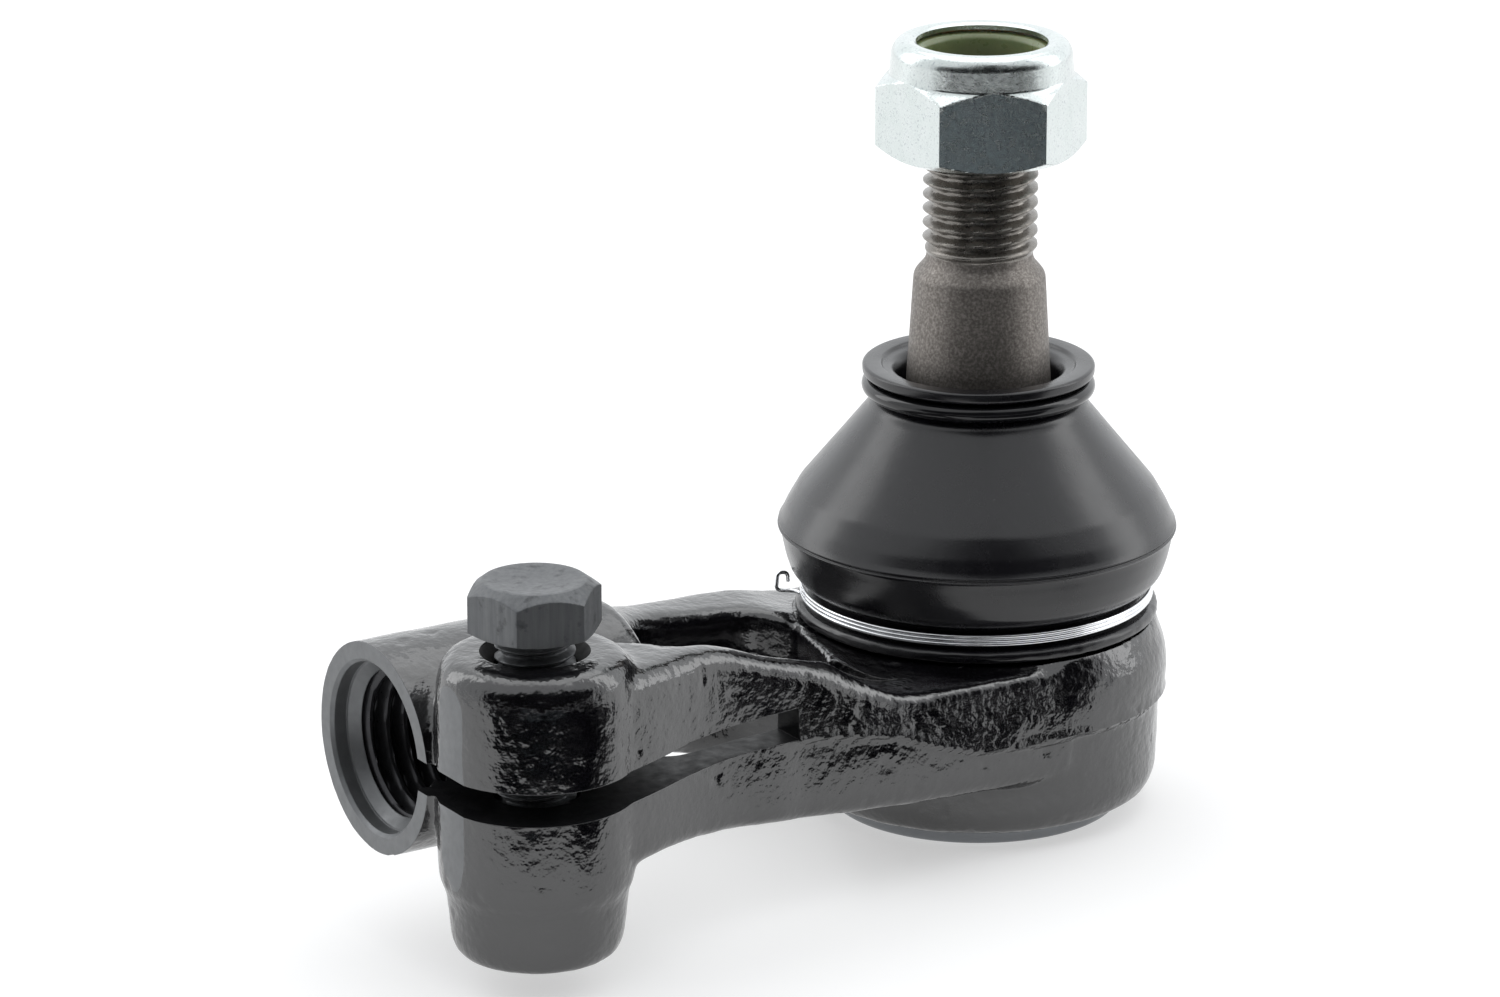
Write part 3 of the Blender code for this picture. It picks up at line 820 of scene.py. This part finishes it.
def make_boot():
    """Dust boot: bead under the wire, belly, double ridge, cone, ring groove and recessed lip."""
    flange = [(15.95, 21.02), (18.5, 21.02), (18.95, 21.25), (18.98, 21.9), (18.7, 22.3), (17.9, 22.42)]
    groove = [(17.62, 22.65), (17.6, 24.35), (18.0, 24.62)]
    belly = [(18.7, 24.9), (19.5, 25.9), (20.0, 27.4), (20.35, 29.0), (20.55, 30.15)]
    ridge = [(20.82, 30.28), (20.86, 30.42), (20.66, 30.52), (20.7, 30.66), (20.78, 30.78), (20.66, 30.95)]
    cone = [(20.45, 31.3), (19.9, 32.5), (18.7, 34.6), (16.9, 36.8), (14.6, 39.6), (11.6, 43.3), (11.3, 43.9)]
    neck = [(10.5, 44.6), (10.4, 45.6), (10.5, 46.5)]
    lip = [(11.7, 46.65), (12.05, 46.9), (12.08, LIP_Z - 0.2), (11.85, LIP_Z)]
    lip += [(10.15, LIP_Z - 0.05), (9.95, LIP_Z - 0.4), (9.0, LIP_Z - 0.5)]
    mouth = [(8.5, LIP_Z - 1.4), (8.2, 45.0), (8.0, 44.0)]
    inside = [(9.6, 42.6), (15.6, 35.4), (19.2, 30.75), (18.3, 26.8), (15.95, 25.3)]
    outline = flange + groove + belly + ridge + cone + neck + lip + mouth + inside
    boot = lathe("boot", rounded(outline, 0.35, 3, closed=True), boot_rubber())
    for vertex in boot.data.vertices:
        point = vertex.co / MM
        radius = math.hypot(point.x, point.y)
        if 18.0 < radius and point.z < 22.4:
            ragged = 0.10 * noise.noise(point * 1.1) + 0.05 * noise.noise(point * 3.0)
            vertex.co.x *= 1 + ragged / radius
            vertex.co.y *= 1 + ragged / radius
    sharpen(boot, 45)
    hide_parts("dust_boot")
    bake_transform(boot)


def make_upper_ring():
    middle = low("boot_upper_ring") / 2 + high("boot_upper_ring") / 2
    outer = reach("boot_upper_ring")
    section = [
        (outer - 0.8 + 0.8 * math.cos(a), middle + 0.82 * math.sin(a))
        for a in np.linspace(0, math.tau, 24, endpoint=False)
    ]
    ring = lathe("upper_ring", section, ring_rubber())
    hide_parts("boot_upper_ring")
    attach(ring, "boot_mouth")


def wire(name, path, radius, material):
    """Round wire along a list of points in millimetres."""
    curve = bpy.data.curves.new(name, "CURVE")
    curve.dimensions = "3D"
    curve.bevel_depth = radius * MM
    curve.bevel_resolution = 4
    curve.use_fill_caps = True
    spline = curve.splines.new("POLY")
    spline.points.add(len(path) - 1)
    for point, place in zip(spline.points, path):
        point.co = (*(value * MM for value in place), 1)
    curve.materials.append(material)
    obj = bpy.data.objects.new(name, curve)
    bpy.context.scene.collection.objects.link(obj)
    return obj


def make_lower_ring():
    """Wound wire that clips the boot's bead down, with a bent hook where it starts and a short end."""
    radius = 0.21
    turns = 2.6
    base = low("boot_lower_ring") + radius
    top = high("boot_lower_ring") - radius
    centre = reach("boot_lower_ring") - radius
    start = math.radians(148)
    hook = [
        (19.7, 147.0, 23.7), (19.8, 147.0, 24.7), (20.8, 148.0, 24.8), (21.0, 149.0, 22.95),
        (19.2, 149.5, base), (centre, 152.0, base),
    ]
    bent = []
    for distance, degrees, height in hook:
        angle = math.radians(degrees)
        bent.append((distance * math.cos(angle), distance * math.sin(angle), height))
    path = rounded(bent, 0.6, 5)
    count = int(turns * 110)
    for index in range(3, count + 1):
        share = index / count
        angle = start + share * turns * math.tau
        path.append((centre * math.cos(angle), centre * math.sin(angle), base + (top - base) * share))
    angle += 0.06
    path.append((19.9 * math.cos(angle), 19.9 * math.sin(angle), top))
    ring = wire("wire_ring", path, radius, bright_wire())
    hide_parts("boot_lower_ring")
    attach(ring, "housing")


def make_cap():
    """Pressed cap with a rounded edge and a shallow ring pressed into its floor from inside."""
    profile = [
        (0, 0), (14.4, 0), (CAP_RADIUS - 0.35, 0.22), (CAP_RADIUS, 1.1), (CAP_RADIUS, 3.6), (16.3, 3.6),
        (16.3, 4.9), (14.4, 4.9), (14.4, 1.5), (14.0, 1.3), (0, 1.3),
    ]
    cap = sharpen(lathe("pressed_cap", rounded(profile, 0.5, 4), cap_coat()), 40)
    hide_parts("end_cap")
    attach(cap, "housing")


# ---------------------------------------------------------------- nut and bolt


def hexagon_rings(flats, turn, envelope, centre=(0, 0)):
    """Rings of a hexagonal bar turned to an envelope: a point goes in to the hexagon or the envelope."""
    inner = flats / 2
    rings = []
    for radius, height in envelope:
        if radius == 0:
            rings.append([(*centre, height)])
            continue
        ring = []
        for step in range(HEX_STEPS):
            angle = math.tau * step / HEX_STEPS
            side = (angle - math.radians(turn) + math.pi / 6) % (math.pi / 3) - math.pi / 6
            corner = inner / math.cos(math.pi / 6 - abs(side))
            out = min(radius, corner)
            ring.append((centre[0] + out * math.cos(angle), centre[1] + out * math.sin(angle), height))
        rings.append(ring)
    return rings


def graded(first, last, count):
    """Evenly spaced points from first to last, the last left out."""
    return [
        tuple(a + (b - a) * step / count for a, b in zip(first, last)) for step in range(count)
    ]


def make_nut():
    """Lock nut: chamfered hexagon, sloping shoulder and a round collar rolled over the nylon ring."""
    corner = NUT_FLATS / math.sqrt(3)
    outside = graded((5.95, NUT_Z + 0.5), (6.8, NUT_Z), 2)
    outside += [(6.8, NUT_Z)]
    outside += graded((9.0, NUT_Z), (9.35, NUT_Z + 0.05), 2)
    outside += graded((9.35, NUT_Z + 0.05), (corner, NUT_Z + 1.0), 16)
    outside += graded((corner, NUT_Z + 1.0), (corner, NUT_TOP - 4.9), 8)
    outside += graded((corner, NUT_TOP - 4.9), (9.8, NUT_TOP - 3.9), 18)
    roll = [(9.8, NUT_TOP - 3.9), (9.5, NUT_TOP - 3.6), (9.3, NUT_TOP - 1.2), (8.9, NUT_TOP - 0.45)]
    roll += [(8.4, NUT_TOP - 0.1), (7.9, NUT_TOP), (7.15, NUT_TOP - 0.08), (6.8, NUT_TOP - 0.3)]
    outside += rounded(roll, 0.35, 4)
    inside = [(6.8, NUT_TOP - 0.75), (8.3, NUT_TOP - 0.8), (8.3, NUT_TOP - 3.9), (6.6, NUT_TOP - 3.95)]
    thread = threaded_rings(
        lambda z: 6.25, 0.75, STUD_PITCH, NUT_Z + 0.5, NUT_TOP - 4.0, 0.5, 0.3, (0, 0), HEX_STEPS
    )
    rings = hexagon_rings(NUT_FLATS, NUT_TURN, outside + inside)[1:] + thread[::-1]
    nut = mesh_object("zinc_nut", *skin(rings, True), zinc_plate())
    sharpen(nut, 22)
    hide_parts("lock_nut")
    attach(nut, "nut")


def make_nylon_ring():
    base = low("nylon_ring")
    top = high("nylon_ring")
    profile = [(6.05, base + 0.3), (6.3, base), (7.95, base), (7.95, top), (6.5, top), (6.05, top - 0.4)]
    ring = sharpen(lathe("insert_ring", rounded(profile, 0.2, 3, closed=True), olive_nylon()), 40)
    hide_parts("nylon_ring")
    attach(ring, "nut_ring")


def make_bolt():
    """Pinch bolt: chamfered, dished head and a rolled thread that starts close under it."""
    head_top = high("pinch_bolt")
    tip = low("pinch_bolt")
    corner = BOLT_FLATS / math.sqrt(3)
    centre = (BOLT_X, BOLT_Y)
    dish = [(0, head_top - 0.42), (2.0, head_top - 0.36), (3.4, head_top - 0.2), (4.5, head_top - 0.04)]
    envelope = dish + [(4.9, head_top)]
    envelope += graded((5.1, head_top - 0.03), (corner, head_top - 1.25), 14)
    envelope += graded((corner, head_top - 1.25), (corner, BOLT_HEAD_Z + 0.35), 6)
    envelope += graded((corner, BOLT_HEAD_Z + 0.35), (5.7, BOLT_HEAD_Z), 6)
    envelope += [(5.7, BOLT_HEAD_Z), (4.2, BOLT_HEAD_Z)]
    thread = threaded_rings(
        lambda z: 3.97, 0.72, BOLT_PITCH, tip + 0.8, BOLT_HEAD_Z - 0.3, 0.6, 0.7, centre, HEX_STEPS
    )
    rings = hexagon_rings(BOLT_FLATS, BOLT_TURN, envelope, centre) + thread[::-1]
    rings += [circle(3.2, tip, HEX_STEPS, centre), circle(0, tip, HEX_STEPS, centre)]
    bolt = sharpen(mesh_object("clamp_bolt_piece", *skin(rings, False), bolt_phosphate()), 24)
    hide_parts("pinch_bolt")
    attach(bolt, "clamp_bolt")


# ---------------------------------------------------------------- hidden pieces


def dress_hidden_pieces():
    seat = cream_acetal()
    for node in ("lower_ball_seat", "upper_ball_seat"):
        frame["nodes"][node].data.materials.clear()
        frame["nodes"][node].data.materials.append(seat)
    spring = frame["nodes"]["preload_spring"].data
    spring.materials.clear()
    spring.materials.append(stud_steel())


# ---------------------------------------------------------------- studio


def matt_material(name, base, roughness, glow_colour, glow):
    """Material without a highlight, for the floor and the cards."""
    material = bpy.data.materials.new(name)
    material.use_nodes = True
    shader = material.node_tree.nodes["Principled BSDF"]
    shader.inputs["Base Color"].default_value = (*base, 1)
    shader.inputs["Roughness"].default_value = roughness
    shader.inputs["Specular IOR Level"].default_value = 0.0
    shader.inputs["Emission Color"].default_value = (*glow_colour, 1)
    shader.inputs["Emission Strength"].default_value = glow
    return material


def toward_camera(distance, side, height):
    """Point at a distance from the stud's axis towards the camera, and to the camera's right."""
    facing = Vector((-math.sin(FACING_AZIMUTH), -math.cos(FACING_AZIMUTH), 0))
    right = Vector((-facing.y, facing.x, 0))
    return tuple(facing * distance + right * side + Vector((0, 0, height)))


def card(name, corners, glow=0.0):
    """Dark card that only reflections see, as it would stand outside the picture."""
    material = matt_material(name, (0.002, 0.002, 0.003), 1.0, (0.8, 0.92, 1.0), glow)
    points = [toward_camera(*corner) for corner in corners]
    obj = mesh_object(name, points, [tuple(range(len(corners)))], material)
    obj.visible_camera = False
    obj.visible_diffuse = False
    obj.visible_shadow = False


def softbox(name, where, target, width, height, power):
    light = bpy.data.lights.new(name, "AREA")
    light.shape = "RECTANGLE"
    light.size = width
    light.size_y = height
    light.energy = power
    obj = bpy.data.objects.new(name, light)
    place = Vector(toward_camera(*where)) * MM
    obj.location = place
    obj.rotation_euler = (Vector(target) - place).to_track_quat("-Z", "Y").to_euler()
    obj.visible_camera = False
    bpy.context.scene.collection.objects.link(obj)


def make_surround():
    """White surround with a dark band low in front, where a studio's open side would be.

    Its half width in radians narrows as the sine of the elevation rises through the last BAND_FULL
    below BAND_TOP.
    """
    world = bpy.data.worlds.new("studio")
    bpy.context.scene.world = world
    world.use_nodes = True
    tree = world.node_tree
    coordinates = tree.nodes.new("ShaderNodeTexCoord")

    def along(axis):
        made = tree.nodes.new("ShaderNodeVectorMath")
        made.operation = "DOT_PRODUCT"
        made.inputs[1].default_value = axis
        tree.links.new(coordinates.outputs["Generated"], made.inputs[0])
        return made.outputs["Value"]

    def calculate(operation, *values):
        made = tree.nodes.new("ShaderNodeMath")
        made.operation = operation
        for socket, value in zip(made.inputs, values):
            if isinstance(value, float):
                socket.default_value = value
            else:
                tree.links.new(value, socket)
        return made.outputs["Value"]

    def ramp(value, start, end, first, last):
        made = tree.nodes.new("ShaderNodeMapRange")
        made.interpolation_type = "SMOOTHSTEP"
        limits = zip(("From Min", "From Max", "To Min", "To Max"), (start, end, first, last))
        for socket, number in limits:
            made.inputs[socket].default_value = number
        tree.links.new(value, made.inputs["Value"])
        return made.outputs["Result"]

    ahead = along(toward_camera(1, 0, 0))
    turn = calculate("ARCTAN2", along(toward_camera(0, 1, 0)), ahead)
    away = calculate("ABSOLUTE", calculate("SUBTRACT", turn, BAND_TURN))
    fall = calculate("DIVIDE", calculate("SUBTRACT", BAND_TOP, along((0, 0, 1))), BAND_FULL)
    kept = calculate("MINIMUM", calculate("MAXIMUM", fall, 0.0), 1.0)
    narrow = calculate("POWER", kept, 0.8)
    half_width = calculate("SUBTRACT", calculate("MULTIPLY", narrow, BAND_HALF_WIDTH), BAND_EDGE)
    light = ramp(calculate("SUBTRACT", half_width, away), -BAND_EDGE, BAND_EDGE, 1.0, 0.01)
    behind = ramp(ahead, -0.75, 0.1, 1.3, 1.0)
    background = tree.nodes["Background"]
    background.inputs["Color"].default_value = (0.96, 0.98, 1.0, 1)
    tree.links.new(calculate("MULTIPLY", light, behind), background.inputs["Strength"])


def make_studio():
    corners = [
        (-FLOOR_HALF, -FLOOR_HALF, 0), (FLOOR_HALF, -FLOOR_HALF, 0),
        (FLOOR_HALF, FLOOR_HALF, 0), (-FLOOR_HALF, FLOOR_HALF, 0),
    ]
    pale = matt_material("studio_floor", (0.55, 0.55, 0.55), 0.9, (1, 1, 1), 0.5)
    floor = mesh_object("floor", corners, [(0, 1, 2, 3)], pale)
    floor.location.z = -FLOOR_DROP
    make_surround()
    card("front_card", [
        (74, -8, 1), (66, 20, 1), (51, 38, 1), (39, 45, 1), (33, 58, 1), (110, 296, 1), (300, 760, 1),
        (900, 900, 1), (900, -700, 1), (250, -360, 1), (110, -85, 1), (107, -12, 1),
    ])
    card("grey_card", [(195, -70, 2), (195, 70, 2), (340, 90, 2), (340, -90, 2)], 0.22)
    middle = (-0.02, 0, 0.03)
    softbox("left_box", (-250, -700, 420), middle, 0.3, 0.8, 1.3)
    softbox("right_box", (-150, 700, 420), middle, 0.3, 0.8, 1.3)
    softbox("top_box", (-250, 0, 900), middle, 0.9, 0.9, 2.2)
    bpy.context.scene.view_settings.view_transform = "Standard"


make_forging()
make_stud()
make_boot()
make_upper_ring()
make_lower_ring()
make_cap()
make_nut()
make_nylon_ring()
make_bolt()
dress_hidden_pieces()
make_studio()
